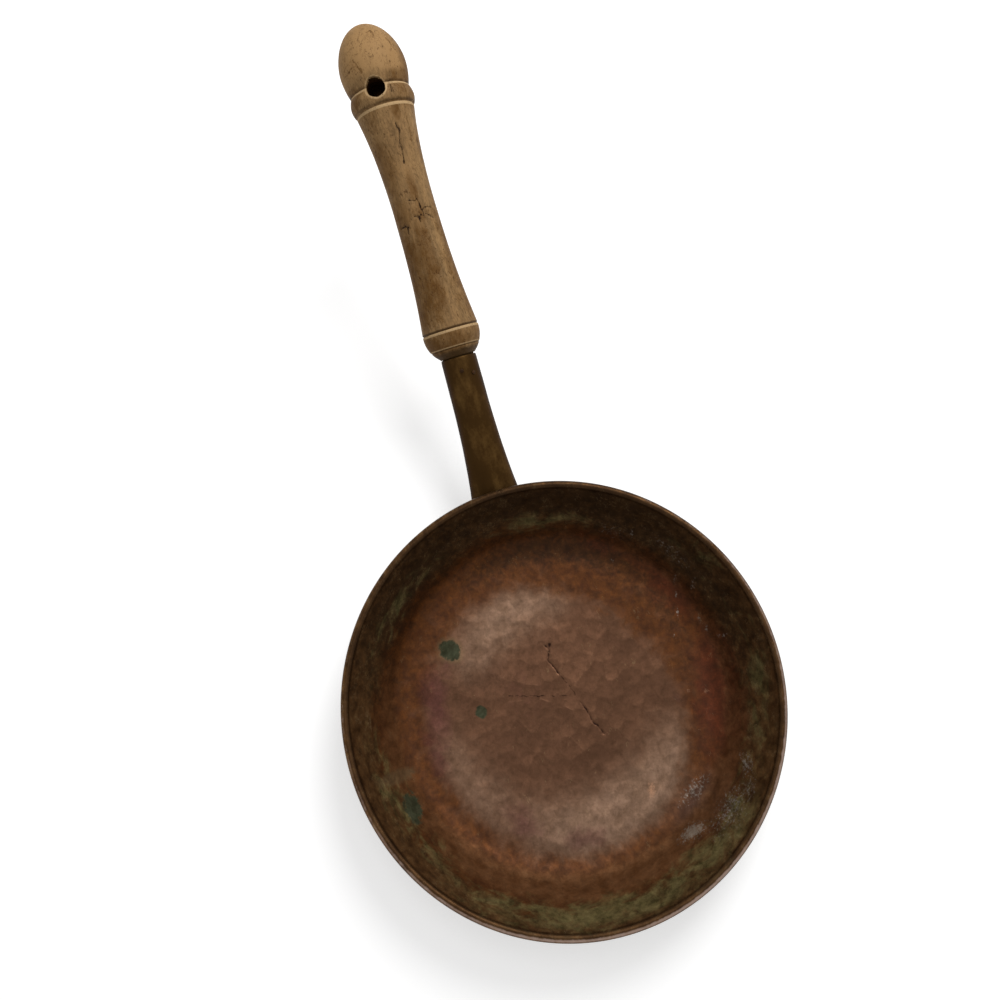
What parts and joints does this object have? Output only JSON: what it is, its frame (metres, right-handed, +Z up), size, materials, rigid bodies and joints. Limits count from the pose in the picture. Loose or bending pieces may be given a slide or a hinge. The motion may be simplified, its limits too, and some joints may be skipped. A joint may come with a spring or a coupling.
{
  "type": "bed warming pan",
  "caption": "Open bed warming pan: a round copper bowl with a rolled rim, a rising brass handle socket and a turned wooden handle pierced for hanging.",
  "frame": {"origin": "centre of the pan's flat underside", "axes": "+Z up out of the open bowl, +X from the bowl's centre towards the foot of the handle socket, +Y to the left of the handle when looking along +X"},
  "size_m": [0.5398, 0.26, 0.1669],
  "materials": {
    "pan_copper": "hammered, patinated copper",
    "socket_brass": "dark patinated sheet brass",
    "braze": "dark, as cast braze",
    "handle_wood": "turned, worn and stained",
    "iron": "dark wrought iron"
  },
  "bodies": {
    "root": {"pan": "pan_copper", "rim_wire": "iron", "handle_socket": "socket_brass", "socket_seam": "braze", "foot_braze": "braze", "wood_handle": "handle_wood", "handle_nail_1": "iron", "handle_nail_2": "iron"}
  },
  "joints": []
}
